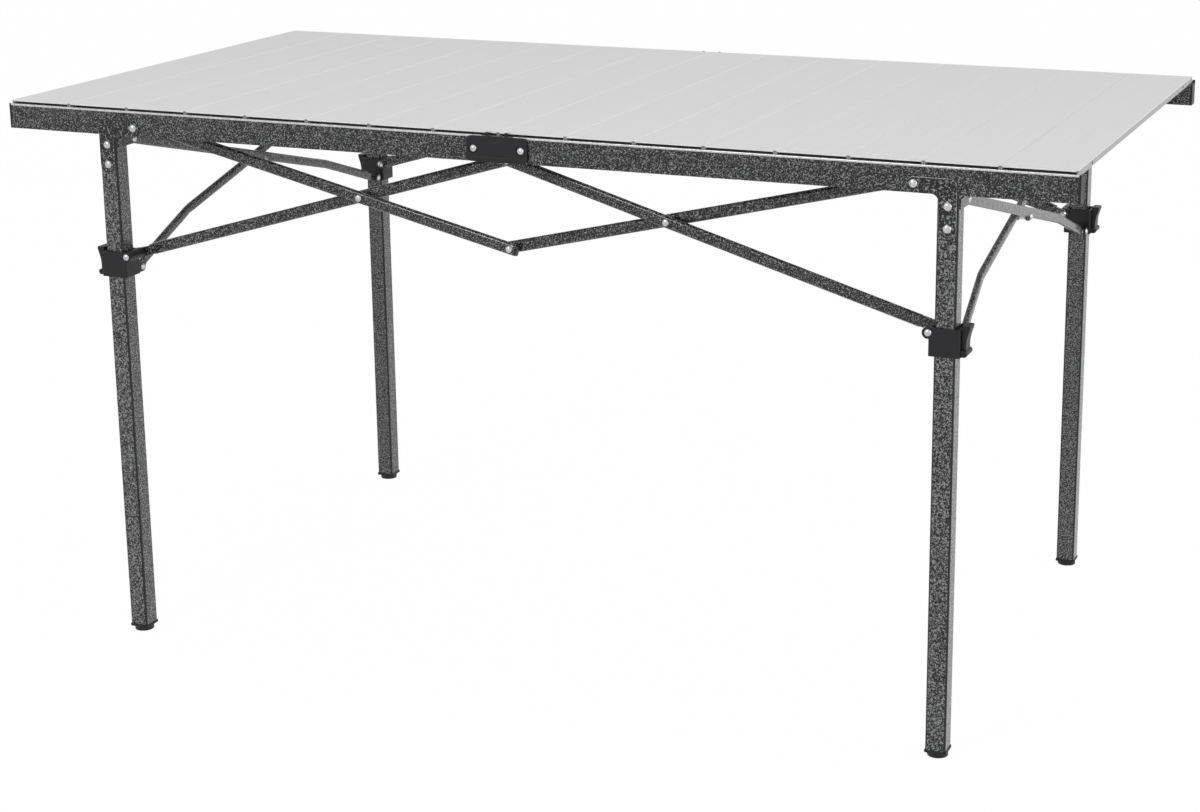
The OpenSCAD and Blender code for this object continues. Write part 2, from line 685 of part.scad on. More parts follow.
leg(left, front);  // leg_front_left
leg(right, front);  // leg_front_right
leg(left, rear);  // leg_rear_left
leg(right, rear);  // leg_rear_right
corner_plate(left, front);  // corner_plate_front_left
corner_plate(right, front);  // corner_plate_front_right
corner_plate(left, rear);  // corner_plate_rear_left
corner_plate(right, rear);  // corner_plate_rear_right
leg_rivets(left, front);  // leg_rivets_front_left
leg_rivets(right, front);  // leg_rivets_front_right
leg_rivets(left, rear);  // leg_rivets_rear_left
leg_rivets(right, rear);  // leg_rivets_rear_right
foot(left, front);  // foot_front_left
foot(right, front);  // foot_front_right
foot(left, rear);  // foot_rear_left
foot(right, rear);  // foot_rear_right
rail(left, front);  // rail_front_left
rail(right, front);  // rail_front_right
rail(left, rear);  // rail_rear_left
rail(right, rear);  // rail_rear_right
knuckle(front);  // knuckle_front
knuckle(rear);  // knuckle_rear
knuckle_rivets(front);  // knuckle_rivets_front
knuckle_rivets(rear);  // knuckle_rivets_rear
low_bar(left, front);  // low_bar_front_left
low_bar(right, front);  // low_bar_front_right
low_bar(left, rear);  // low_bar_rear_left
low_bar(right, rear);  // low_bar_rear_right
high_bar(left, front);  // high_bar_front_left
high_bar(right, front);  // high_bar_front_right
high_bar(left, rear);  // high_bar_rear_left
high_bar(right, rear);  // high_bar_rear_right
outer_end_bar(left);  // outer_end_bar_left
outer_end_bar(right);  // outer_end_bar_right
inner_end_bar(left);  // inner_end_bar_left
inner_end_bar(right);  // inner_end_bar_right
slider(left, front);  // slider_front_left
slider(right, front);  // slider_front_right
slider(left, rear);  // slider_rear_left
slider(right, rear);  // slider_rear_right
lever(left, front);  // lever_front_left
lever(right, front);  // lever_front_right
lever(left, rear);  // lever_rear_left
lever(right, rear);  // lever_rear_right
slat(1);  // slat_01
slat(2);  // slat_02
slat(3);  // slat_03
slat(4);  // slat_04
slat(5);  // slat_05
slat(6);  // slat_06
slat(7);  // slat_07
slat(8);  // slat_08
slat(9);  // slat_09
slat(10);  // slat_10
slat(11);  // slat_11
slat(12);  // slat_12
slat(13);  // slat_13
slat(14);  // slat_14
slat(15);  // slat_15
slat(16);  // slat_16
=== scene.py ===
import json
import math

import bpy
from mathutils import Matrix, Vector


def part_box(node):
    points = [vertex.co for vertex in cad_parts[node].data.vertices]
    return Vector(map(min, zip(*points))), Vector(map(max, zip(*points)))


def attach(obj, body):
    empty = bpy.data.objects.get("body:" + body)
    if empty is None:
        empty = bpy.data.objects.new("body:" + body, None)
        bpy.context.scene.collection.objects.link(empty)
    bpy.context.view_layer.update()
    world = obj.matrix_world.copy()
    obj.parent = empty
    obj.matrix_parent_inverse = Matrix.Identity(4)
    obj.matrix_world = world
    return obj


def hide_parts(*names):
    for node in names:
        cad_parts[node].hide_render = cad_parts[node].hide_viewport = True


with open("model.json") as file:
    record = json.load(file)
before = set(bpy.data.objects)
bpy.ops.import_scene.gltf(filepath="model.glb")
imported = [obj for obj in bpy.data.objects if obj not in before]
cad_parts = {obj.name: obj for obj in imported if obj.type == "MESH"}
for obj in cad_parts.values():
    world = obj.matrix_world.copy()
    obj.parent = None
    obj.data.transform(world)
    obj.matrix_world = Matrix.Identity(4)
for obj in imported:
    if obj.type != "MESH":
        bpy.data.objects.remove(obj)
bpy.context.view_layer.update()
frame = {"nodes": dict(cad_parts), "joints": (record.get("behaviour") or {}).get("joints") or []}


# Legs: four lengths of square steel tube with rounded corners, open at the top, dipped in hammered enamel.
# The dark grey enamel draws together into fine pale flakes while it dries, and leaves a dimpled gloss.
corners = ["front_left", "front_right", "rear_left", "rear_right"]


def new_finish(name):
    """A node material with its shader, and the piece's own coordinates."""
    finish = bpy.data.materials.new(name)
    finish.use_nodes = True
    nodes, links = finish.node_tree.nodes, finish.node_tree.links
    place = nodes.new("ShaderNodeTexCoord").outputs["Object"]
    return finish, nodes, links, nodes["Principled BSDF"], place


def colour_steps(nodes, links, value, steps):
    """A colour ramp over a pattern, with (place, grey or colour) steps."""
    ramp = nodes.new("ShaderNodeValToRGB")
    links.new(value, ramp.inputs["Fac"])
    marks = ramp.color_ramp.elements
    while len(marks) < len(steps):
        marks.new(0.5)
    for mark, (at, colour) in zip(marks, steps):
        shade = (colour,) * 3 if isinstance(colour, float) else colour
        mark.position = at
        mark.color = (*shade, 1)
    return ramp.outputs["Color"]


def hammered_enamel(name, steps, flake_scale=620, dimple=0.22):
    """Glossy enamel with a pattern of flakes, from black between them to the pale middle of a flake."""
    finish, nodes, links, shader, place = new_finish(name)
    flakes = nodes.new("ShaderNodeTexNoise")
    flakes.inputs["Scale"].default_value = flake_scale
    flakes.inputs["Detail"].default_value = 1
    flakes.inputs["Roughness"].default_value = 0.4
    flakes.inputs["Distortion"].default_value = 0.7
    links.new(place, flakes.inputs["Vector"])
    colour = colour_steps(nodes, links, flakes.outputs["Fac"], steps)
    links.new(colour, shader.inputs["Base Color"])
    gloss = colour_steps(nodes, links, flakes.outputs["Fac"], [(0.40, 0.34), (0.62, 0.46)])
    links.new(gloss, shader.inputs["Roughness"])
    dimples = nodes.new("ShaderNodeBump")
    dimples.inputs["Strength"].default_value = dimple
    dimples.inputs["Distance"].default_value = 0.0005
    links.new(flakes.outputs["Fac"], dimples.inputs["Height"])
    links.new(dimples.outputs["Normal"], shader.inputs["Normal"])
    shader.inputs["Metallic"].default_value = 0.15
    shader.inputs["Specular IOR Level"].default_value = 0.1
    shader.inputs["Coat Weight"].default_value = 0.6
    shader.inputs["Coat Roughness"].default_value = 0.1
    return finish


def only(piece):
    """Leaves one piece selected and active."""
    bpy.ops.object.select_all(action="DESELECT")
    piece.select_set(True)
    bpy.context.view_layer.objects.active = piece


def copied(node):
    """A copy of a solid with its own mesh and no marks, its loose triangles merged into whole faces."""
    solid = frame["nodes"][node]
    piece = solid.copy()
    piece.data = solid.data.copy()
    piece.parent = None
    for key in list(piece.keys()):
        del piece[key]
    bpy.context.scene.collection.objects.link(piece)
    only(piece)
    bpy.ops.object.mode_set(mode="EDIT")
    bpy.ops.mesh.select_all(action="SELECT")
    bpy.ops.mesh.remove_doubles(threshold=0.000002)
    bpy.ops.mesh.dissolve_limited(angle_limit=math.radians(0.5))
    bpy.ops.object.mode_set(mode="OBJECT")
    return piece


def solid_sizes(mesh):
    """The box size of the separate solid that each face belongs to."""
    owner = list(range(len(mesh.vertices)))

    def head(i):
        while owner[i] != i:
            owner[i] = owner[owner[i]]
            i = owner[i]
        return i

    for edge in mesh.edges:
        a, b = (head(i) for i in edge.vertices)
        owner[max(a, b)] = min(a, b)
    boxes = {}
    for i, vertex in enumerate(mesh.vertices):
        low, high = boxes.setdefault(head(i), ([math.inf] * 3, [-math.inf] * 3))
        for axis in range(3):
            low[axis] = min(low[axis], vertex.co[axis])
            high[axis] = max(high[axis], vertex.co[axis])
    sizes = []
    for face in mesh.polygons:
        low, high = boxes[head(face.vertices[0])]
        sizes.append([h - l for l, h in zip(low, high)])
    return sizes


def coated(piece, finishes, choose=lambda size: 0):
    """Gives each solid of a piece the finish that its size calls for."""
    piece.data.materials.clear()
    for finish in finishes:
        piece.data.materials.append(finish)
    for face, size in zip(piece.data.polygons, solid_sizes(piece.data)):
        face.material_index = choose(size)
    return piece


def rounded(piece, edge=0, edge_finish=-1):
    """Smooths a piece's round faces, and rounds its sharp edges where a size is given.
    The rounding has a finish of its own, or with -1 that of the faces beside it."""
    sharp = math.radians(38)
    only(piece)
    if edge:
        rounding = piece.modifiers.new("rounding", "BEVEL")
        rounding.width = edge
        rounding.segments = 3
        rounding.limit_method = "ANGLE"
        rounding.angle_limit = sharp
        rounding.material = edge_finish
        bpy.ops.object.modifier_apply(modifier=rounding.name)
    bpy.ops.object.shade_smooth_by_angle(angle=sharp)
    facing = piece.modifiers.new("facing", "WEIGHTED_NORMAL")
    facing.keep_sharp = True
    bpy.ops.object.modifier_apply(modifier=facing.name)
    return piece


def fitted(piece, node, body):
    """Puts a finished piece in the place of its solid."""
    piece.name = piece.data.name = node + "_piece"
    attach(piece, body)
    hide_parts(node)


black, dark, grey = (0.003, 0.003, 0.0035), (0.014, 0.0145, 0.0155), (0.05, 0.051, 0.053)
pale, palest = (0.172, 0.174, 0.177), (0.33, 0.332, 0.335)
enamel = hammered_enamel("hammered_enamel", [(0.42, black), (0.49, dark), (0.55, pale), (0.66, palest)])
# The legs' rounded corners get a darker enamel without pale flakes: painted shade along their edges.
edge_enamel = hammered_enamel("edge_enamel", [(0.46, black), (0.62, dark), (0.72, grey)])
corner_lean = 0.12
for corner in corners:
    leg = "leg_" + corner
    piece = coated(copied(leg), [enamel, edge_enamel])
    for face in piece.data.polygons:
        on_corner = min(abs(face.normal.x), abs(face.normal.y)) > corner_lean
        face.material_index = int(on_corner)
    fitted(rounded(piece), leg, leg)


# Feet: black moulded plugs pushed into the legs, with a square flange under the tube and a round pad
# below it. The plastic is dyed through and has the fine grain of the mould.
def moulded_black():
    """Black plastic with a fine grain and a slightly cloudy gloss."""
    finish, nodes, links, shader, place = new_finish("moulded_black")
    grain = nodes.new("ShaderNodeTexNoise")
    grain.inputs["Scale"].default_value = 1400
    grain.inputs["Detail"].default_value = 3
    links.new(place, grain.inputs["Vector"])
    colour = colour_steps(nodes, links, grain.outputs["Fac"],
                          [(0.3, (0.0075, 0.0075, 0.009)), (0.7, (0.0135, 0.0135, 0.0155))])
    links.new(colour, shader.inputs["Base Color"])
    cloudy = nodes.new("ShaderNodeTexNoise")
    cloudy.inputs["Scale"].default_value = 60
    links.new(place, cloudy.inputs["Vector"])
    gloss = colour_steps(nodes, links, cloudy.outputs["Fac"], [(0.3, 0.40), (0.7, 0.52)])
    links.new(gloss, shader.inputs["Roughness"])
    bumps = nodes.new("ShaderNodeBump")
    bumps.inputs["Strength"].default_value = 0.12
    bumps.inputs["Distance"].default_value = 0.0002
    links.new(grain.outputs["Fac"], bumps.inputs["Height"])
    links.new(bumps.outputs["Normal"], shader.inputs["Normal"])
    shader.inputs["Specular IOR Level"].default_value = 0.3
    return finish


plastic = moulded_black()
foot_edge = 0.0008
for corner in corners:
    foot = "foot_" + corner
    piece = rounded(coated(copied(foot), [plastic]), foot_edge)
    fitted(piece, foot, "leg_" + corner)


# Corner plates: L-shaped plates punched from 2 mm steel, riveted to the leg and holding the rail's pivot,
# each with an ear for an end bar. The same enamel covers them, with a painted highlight along their edges.
def rubbed_enamel():
    """Pale metal in patches along the plates' edges: a painted highlight."""
    finish, nodes, links, shader, place = new_finish("rubbed_enamel")
    worn = nodes.new("ShaderNodeTexNoise")
    worn.inputs["Scale"].default_value = 420
    worn.inputs["Detail"].default_value = 2
    links.new(place, worn.inputs["Vector"])
    colour = colour_steps(nodes, links, worn.outputs["Fac"],
                          [(0.36, (0.40, 0.40, 0.402)), (0.60, (0.76, 0.762, 0.765))])
    links.new(colour, shader.inputs["Base Color"])
    gloss = colour_steps(nodes, links, worn.outputs["Fac"], [(0.3, 0.24), (0.7, 0.36)])
    links.new(gloss, shader.inputs["Roughness"])
    shader.inputs["Metallic"].default_value = 0.9
    return finish


def block(low, high):
    """A square-cut blank between two corners."""
    bpy.ops.object.select_all(action="DESELECT")
    bpy.ops.mesh.primitive_cube_add(size=1, location=[(l + h) / 2 for l, h in zip(low, high)])
    blank = bpy.context.object
    blank.scale = [h - l for l, h in zip(low, high)]
    bpy.ops.object.transform_apply(location=True, rotation=True, scale=True)
    return blank


def cut(piece, place, across):
    """Cuts a line of new edges through a whole piece."""
    only(piece)
    bpy.ops.object.mode_set(mode="EDIT")
    bpy.ops.mesh.select_all(action="SELECT")
    bpy.ops.mesh.bisect(plane_co=place, plane_no=across)
    bpy.ops.object.mode_set(mode="OBJECT")


def pick(piece, kind, test):
    """Opens a piece for editing, with the faces, edges or points selected that pass a test."""
    only(piece)
    bpy.ops.object.mode_set(mode="EDIT")
    bpy.ops.mesh.select_mode(type=kind)
    bpy.ops.mesh.select_all(action="DESELECT")
    bpy.ops.object.mode_set(mode="OBJECT")
    mesh = piece.data
    if kind == "FACE":
        for face in mesh.polygons:
            face.select = test(face.center, face.normal)
    elif kind == "EDGE":
        for edge in mesh.edges:
            a, b = (mesh.vertices[i].co for i in edge.vertices)
            edge.select = test((a + b) / 2, (b - a).normalized())
    else:
        for vertex in mesh.vertices:
            vertex.select = test(vertex.co, vertex.normal)
    bpy.ops.object.mode_set(mode="EDIT")


def done():
    """Closes a piece after editing."""
    bpy.ops.object.mode_set(mode="OBJECT")


# A hair's breadth, for tests of place and for shapes that have to overlap or stay apart.
hair = 0.0001


def round_corner(piece, x, z, radius):
    """Rounds the edge that runs through a plate at a corner of its outline."""
    pick(piece, "EDGE", lambda at, way: abs(way.y) > 0.9 and abs(at.x - x) + abs(at.z - z) < 4 * hair)
    bpy.ops.mesh.bevel(offset=radius, segments=8, affect="EDGES")
    done()


def mirrored(piece, x, y):
    """A copy with a mesh of its own, mirrored across the middle of the table where x or y is -1."""
    twin = piece.copy()
    twin.data = piece.data.copy()
    bpy.context.scene.collection.objects.link(twin)
    only(twin)
    twin.scale = (x, y, 1)
    bpy.ops.object.transform_apply(location=False, rotation=False, scale=True)
    bpy.ops.object.mode_set(mode="EDIT")
    bpy.ops.mesh.select_all(action="SELECT")
    bpy.ops.mesh.normals_make_consistent(inside=False)
    bpy.ops.object.mode_set(mode="OBJECT")
    return twin


def joined(piece, *others):
    """Makes one piece of several."""
    only(piece)
    for other in others:
        other.select_set(True)
    bpy.ops.object.join()
    return piece


def dropped(shape):
    """Removes a shape that isn't needed any more."""
    bpy.data.meshes.remove(shape.data)


def sides(corner):
    """The signs that mirror a front left piece to a corner."""
    return (-1 if "right" in corner else 1), (-1 if "rear" in corner else 1)


plate_low, plate_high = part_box("corner_plate_front_left")
leg_low, leg_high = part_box("leg_front_left")
leg_arm, plate_thick, plate_edge = 0.021, 0.002, 0.00095
outer_curve, inner_curve, arm_raised = 0.0095, 0.009, 0.0003
arm_bottom = leg_high[2] + arm_raised
arm_left = plate_low[0] + leg_arm
plate = block((plate_low[0], leg_low[1] - plate_thick, plate_low[2]), (arm_left, leg_low[1], plate_high[2]))
cut(plate, (0, 0, arm_bottom), (0, 0, 1))
pick(plate, "FACE", lambda at, way: way.x > 0.9 and at.z > arm_bottom)
bpy.ops.mesh.extrude_region_move(TRANSFORM_OT_translate={"value": (plate_high[0] - arm_left, 0, 0)})
done()
round_corner(plate, plate_low[0], plate_high[2], outer_curve)
round_corner(plate, arm_left, arm_bottom, inner_curve)
for x in [plate_low[0], arm_left]:
    round_corner(plate, x, plate_low[2], leg_arm / 2 - hair)
for z in [arm_bottom, plate_high[2]]:
    round_corner(plate, plate_high[0], z, (plate_high[2] - arm_bottom) / 2 - hair)

plate_steps = [(0.49, black), (0.56, dark), (0.62, pale), (0.70, palest)]
plate_finishes = [hammered_enamel("plate_enamel", plate_steps, flake_scale=440), rubbed_enamel()]
coated(plate, plate_finishes)
for corner in corners:
    node = "corner_plate_" + corner
    ear = copied(node)
    pick(ear, "FACE", lambda at, way: abs(at.y) > -leg_low[1] - hair)
    bpy.ops.mesh.delete(type="FACE")
    done()
    coated(ear, plate_finishes)
    piece = joined(mirrored(plate, *sides(corner)), ear)
    # The rounded edges take the pale finish: a painted highlight.
    fitted(rounded(piece, plate_edge, edge_finish=1), node, "leg_" + corner)
dropped(plate)


# Rivets: plated steel with domed heads, closed in a press, and sleeves that space the bars from the rails.
# The plating is bright and slightly clouded.
def bright_plating():
    """Bright metal with a slightly cloudy colour and gloss."""
    finish, nodes, links, shader, place = new_finish("bright_plating")
    cloudy = nodes.new("ShaderNodeTexNoise")
    cloudy.inputs["Scale"].default_value = 260
    cloudy.inputs["Detail"].default_value = 3
    links.new(place, cloudy.inputs["Vector"])
    colour = colour_steps(nodes, links, cloudy.outputs["Fac"],
                          [(0.3, (0.42, 0.42, 0.43)), (0.7, (0.62, 0.62, 0.63))])
    links.new(colour, shader.inputs["Base Color"])
    gloss = colour_steps(nodes, links, cloudy.outputs["Fac"], [(0.3, 0.18), (0.7, 0.34)])
    links.new(gloss, shader.inputs["Roughness"])
    shader.inputs["Metallic"].default_value = 1
    return finish


plating = bright_plating()
head_wider, head_reach = 1.12, 0.006
rivet_drop, rivet_pitch = 0.013, 0.0255
leg_x = (leg_low[0] + leg_high[0]) / 2
pins = {joint["name"]: joint["pos_m"] for joint in frame["joints"] if joint["type"] == "hinge"}
rail_pivot = pins["frame_fold"]
rivet_places = [
    (leg_x, leg_high[2] - rivet_drop),
    (leg_x, leg_high[2] - rivet_drop - rivet_pitch),
    (rail_pivot[0], rail_pivot[2]),
]
plate_face = leg_low[1] - plate_thick


def spread_head(piece, x, y, z):
    """Widens a rivet's head that stands outside y, about the rivet's own axis."""
    def on_head(at):
        return abs(at.y) > abs(y) - hair / 10 and math.hypot(at.x - x, at.z - z) < head_reach

    pick(piece, "VERT", lambda at, way: on_head(at))
    bpy.ops.transform.resize(value=(head_wider, 1, head_wider), center_override=(x, y, z))
    done()


for corner in corners:
    node = "leg_rivets_" + corner
    piece = coated(copied(node), [plating])
    x_side, y_side = sides(corner)
    for x, z in rivet_places:
        spread_head(piece, x * x_side, plate_face * y_side, z)
    fitted(rounded(piece), node, "leg_" + corner)


# Sliders: moulded collars that run on the legs, with a lobe for a crossed bar and an ear for an end bar,
# both riveted with bright heads, and two cheeks that hold the dark pin of the snap lever.
slider_edge, rivet_least, rivet_most = 0.0009, 0.005, 0.012


def slider_finish(size):
    """Plating for the rivets, which are thicker than the lever's pin and slimmer than the collar."""
    middling = sorted(size)[1]
    return 1 if rivet_least < middling < rivet_most else 0


for corner in corners:
    slider = "slider_" + corner
    piece = rounded(coated(copied(slider), [plastic, plating], slider_finish), slider_edge)
    fitted(piece, slider, slider)


# Snap levers: moulded wedges on the sliders' outer sides, with a round boss on the pin, a waist above it
# and a wide flared top for the thumb.
lever_low, lever_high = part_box("lever_front_left")
boss, waist, waist_height, waist_curve = 0.0036, 0.0050, 0.019, 0.006
lip_height, lever_edge = 0.0032, 0.0005
waist_x, waist_z = lever_high[0] - waist, lever_low[2] + waist_height
lip_z = lever_high[2] - lip_height
lever = block((waist_x, lever_low[1], lever_low[2] + boss), lever_high)
for height in [waist_z, lip_z]:
    cut(lever, (0, 0, height), (0, 0, 1))
pick(lever, "VERT", lambda at, way: at.x < waist_x + hair and at.z > lip_z - hair)
bpy.ops.transform.translate(value=(lever_low[0] - waist_x, 0, 0))
done()
pick(lever, "EDGE", lambda at, way: abs(way.y) > 0.9
     and at.x < waist_x + hair and abs(at.z - waist_z) < hair)
bpy.ops.mesh.bevel(offset=waist_curve, segments=6, affect="EDGES")
done()


def rod(place, radius, length):
    """A round blank that lies from front to rear."""
    bpy.ops.object.select_all(action="DESELECT")
    bpy.ops.mesh.primitive_cylinder_add(vertices=40, radius=radius, depth=length,
                                        rotation=(math.pi / 2, 0, 0), location=place)
    blank = bpy.context.object
    bpy.ops.object.transform_apply(location=True, rotation=True, scale=True)
    return blank


def shaped(piece, shape, operation):
    """Welds a shape to a piece that it overlaps, or sinks it into the piece."""
    only(piece)
    change = piece.modifiers.new("change", "BOOLEAN")
    change.operation = operation
    change.object = shape
    bpy.ops.object.modifier_apply(modifier=change.name)
    dropped(shape)


boss_place = (lever_high[0] - boss, (lever_low[1] + lever_high[1]) / 2, lever_low[2] + boss)
shaped(lever, rod(boss_place, boss, lever_high[1] - lever_low[1]), "UNION")
coated(lever, [plastic])
for corner in corners:
    node = "lever_" + corner
    fitted(rounded(mirrored(lever, *sides(corner)), lever_edge), node, node)
dropped(lever)


# Rails: two steel tubes in each long side, rolled with a ledge for the slats behind a raised lip,
# enamelled, and closed at their outer ends by moulded caps. The lip's top band is a painted highlight.
def rubbed_lip():
    """Pale metal along the top band of the lip: a painted highlight."""
    finish, nodes, links, shader, place = new_finish("rubbed_lip")
    worn = nodes.new("ShaderNodeTexNoise")
    worn.inputs["Scale"].default_value = 160
    worn.inputs["Detail"].default_value = 3
    links.new(place, worn.inputs["Vector"])
    colour = colour_steps(nodes, links, worn.outputs["Fac"],
                          [(0.32, (0.52, 0.52, 0.522)), (0.62, (0.64, 0.64, 0.64))])
    links.new(colour, shader.inputs["Base Color"])
    gloss = colour_steps(nodes, links, worn.outputs["Fac"], [(0.3, 0.22), (0.7, 0.34)])
    links.new(gloss, shader.inputs["Roughness"])
    shader.inputs["Metallic"].default_value = 0.6
    return finish


def is_long(size):
    """Tells a tube or a slat from the small solids that are fixed in it."""
    return max(size) > 0.1


rail_steps = [(0.46, black), (0.53, dark), (0.60, pale), (0.70, palest)]
rail_finishes = [hammered_enamel("rail_enamel", rail_steps), plastic, rubbed_lip()]
on_tube, on_cap, on_lip = 0, 1, 2
lip_highlight_depth, rail_edge = 0.0024, 0.0005
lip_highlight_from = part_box("rail_front_left")[1][2] - lip_highlight_depth
for corner in corners:
    rail = "rail_" + corner
    piece = coated(copied(rail), rail_finishes, lambda size: on_tube if is_long(size) else on_cap)
    # The lip's top band, above this cut, gets the pale finish: a painted highlight.
    cut(piece, (0, 0, lip_highlight_from), (0, 0, 1))
    for face in piece.data.polygons:
        if face.material_index == on_tube and face.center.z > lip_highlight_from:
            face.material_index = on_lip
    fitted(rounded(piece, rail_edge), rail, rail)


# Knuckles: moulded double hinges in the middle of the long sides: a face with round corners, a crease along
# its bottom and a shallow recess at its top, a block between the rails, and two tabs that keep the slats in
# place. A rivet at each end, in a dished seat, is the hinge of one rail.
knuckle_low, knuckle_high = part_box("knuckle_front")
face_tall, face_deep, face_curve, knuckle_edge = 0.031, 0.003, 0.0065, 0.0006
face_front, face_top = leg_low[1] - face_deep, knuckle_low[2] + face_tall
knuckle = block((knuckle_low[0], face_front, knuckle_low[2]), (knuckle_high[0], leg_low[1], face_top))
for x in [knuckle_low[0], knuckle_high[0]]:
    for z in [knuckle_low[2], face_top]:
        round_corner(knuckle, x, z, face_curve)

recess_tall, recess_half, recess_slope, sunk = 0.0072, 0.0105, 0.0008, 0.0007
crease_up, crease_half = 0.0062, 0.0008
crease, recess = knuckle_low[2] + crease_up, face_top - recess_tall
for height in [crease, recess]:
    cut(knuckle, (0, 0, height), (0, 0, 1))
for x in [-recess_half, recess_half]:
    cut(knuckle, (x, 0, 0), (1, 0, 0))
pick(knuckle, "FACE", lambda at, way: way.y < -0.9 and abs(at.x) < recess_half and at.z > recess)
bpy.ops.mesh.inset(thickness=recess_slope)
bpy.ops.transform.translate(value=(0, sunk, 0))
done()


def on_crease(at):
    """True on the line of the crease, on the front of the face."""
    return at.y < face_front + hair and abs(at.z - crease) < hair


pick(knuckle, "EDGE", lambda at, way: abs(way.x) > 0.9 and on_crease(at))
bpy.ops.mesh.bevel(offset=crease_half, segments=2, affect="EDGES")
done()
pick(knuckle, "VERT", lambda at, way: on_crease(at))
bpy.ops.transform.translate(value=(0, sunk, 0))
done()

tab_x, tab_half, tab_root, tab_taper = 0.0125, 0.002, 0.004, 0.8
tab_front, tab_back = face_front + 0.0004, leg_low[1] - 0.0002
for x in [-tab_x, tab_x]:
    tab = block((x - tab_half, tab_front, face_top - tab_root), (x + tab_half, tab_back, knuckle_high[2]))
    pick(tab, "VERT", lambda at, way: at.z > knuckle_high[2] - hair)
    tip = (x, leg_low[1] - face_deep / 2, knuckle_high[2])
    bpy.ops.transform.resize(value=(tab_taper, tab_taper, 1), center_override=tip)
    done()
    shaped(knuckle, tab, "UNION")

between_half, between_deep, between_overlap = 0.010, 0.020, 0.001
between_low, between_high = leg_high[2] + 0.001, leg_high[2] + 0.0275
between = block((-between_half, leg_low[1] - between_overlap, between_low),
                (between_half, leg_low[1] + between_deep, between_high))
shaped(knuckle, between, "UNION")

seat_x, seat_z = 0.031, knuckle_low[2] + face_tall / 2
seat_radius, seat_deep = 0.0056, 0.001
for x in [-seat_x, seat_x]:
    shaped(knuckle, rod((x, face_front, seat_z), seat_radius, 2 * seat_deep), "DIFFERENCE")
coated(knuckle, [plastic])
for long_side, y_side in [("front", 1), ("rear", -1)]:
    body = "knuckle_" + long_side
    fitted(rounded(mirrored(knuckle, 1, y_side), knuckle_edge), body, body)
    node = "knuckle_rivets_" + long_side
    fitted(rounded(coated(copied(node), [plating])), node, body)
dropped(knuckle)


# Crossed bars: oval steel tubes, enamelled, with moulded plugs in their ends, riveted where they cross
# and where two of them meet in the middle. The eye on a slider is painted with its bar.
plug_longest, rivet_widest, rivet_shortest = 0.026, 0.012, 0.0095


def bar_finish(size):
    """Plating for the rivets, enamel for the tube and its eye, plastic for the plugs."""
    if size[0] < rivet_widest and size[1] > rivet_shortest and max(size) < plug_longest:
        return 2
    return 0 if max(size) > plug_longest else 1


bar_enamel = hammered_enamel("bar_enamel", rail_steps, dimple=0.10)
for corner in corners:
    for bar in ["low_bar_" + corner, "high_bar_" + corner]:
        piece = coated(copied(bar), [bar_enamel, plastic, plating], bar_finish)
        fitted(rounded(piece), bar, bar)


# End bars: oval steel tubes, bent near their lower end and pressed flat into eyes, in crossed pairs at both
# ends of the table, with a rivet and a sleeve at the crossing.
bend_run, bend_rise = 0.150, 0.008
elbow_radius, elbow_half, rim_share = 0.0069, 0.0041, 0.55
skin_grain, skin_passes = 0.0009, 10


def drawn(piece):
    """Melts a piece's joined shapes into one smooth skin, as a drawn and bent tube has."""
    only(piece)
    skin = piece.modifiers.new("skin", "REMESH")
    skin.mode = "VOXEL"
    skin.voxel_size = skin_grain
    bpy.ops.object.modifier_apply(modifier=skin.name)
    smooth = piece.modifiers.new("smooth", "SMOOTH")
    smooth.factor = 0.5
    smooth.iterations = skin_passes
    bpy.ops.object.modifier_apply(modifier=smooth.name)
    return piece


def without(piece, leave_out):
    """Takes the solids out of a copy whose size passes a test."""
    gone = [leave_out(size) for size in solid_sizes(piece.data)]
    pick(piece, "FACE", lambda at, way: False)
    done()
    for face, is_gone in zip(piece.data.polygons, gone):
        face.select = is_gone
    bpy.ops.object.mode_set(mode="EDIT")
    bpy.ops.mesh.delete(type="FACE")
    done()
    return piece


def elbow_place(end):
    """The y and z of the bend in the outer bar of an end, from its ear and the crossing in its middle."""
    ear, crossing = pins[f"outer_end_bar_{end}_turn"], pins[f"inner_end_bar_{end}_turn"]
    half_y, half_z = crossing[1] - ear[1], crossing[2] - ear[2]
    half = math.hypot(half_y, half_z)
    y = ear[1] + 2 * half_y - (bend_run * half_y + bend_rise * half_z) / half
    z = ear[2] + 2 * half_z - (bend_run * half_z - bend_rise * half_y) / half
    return y, z


def eased_elbow(piece, y, z):
    """Draws in the rims of the bend, so that the tube goes round it with its own oval section."""
    def on_rim(at):
        return abs(math.hypot(at.y - y, at.z - z) - elbow_radius) < hair / 2

    rim = [vertex.co.x for vertex in piece.data.vertices if on_rim(vertex.co)]
    middle = (min(rim) + max(rim)) / 2
    cut(piece, (middle, 0, 0), (1, 0, 0))
    pick(piece, "VERT", lambda at, way: on_rim(at) and abs(abs(at.x - middle) - elbow_half) < hair / 3)
    bpy.ops.transform.resize(value=(1, rim_share, rim_share), center_override=(middle, y, z))
    done()
    return piece


for end in ["left", "right"]:
    elbow_y, elbow_z = elbow_place(end)
    for bar, side in [("outer_end_bar_" + end, 1), ("inner_end_bar_" + end, -1)]:
        tube = eased_elbow(without(copied(bar), lambda size: not is_long(size)), elbow_y * side, elbow_z)
        coated(drawn(tube), [bar_enamel])
        if bar.startswith("outer"):
            joined(tube, coated(without(copied(bar), is_long), [plating]))
        fitted(rounded(tube), bar, bar)
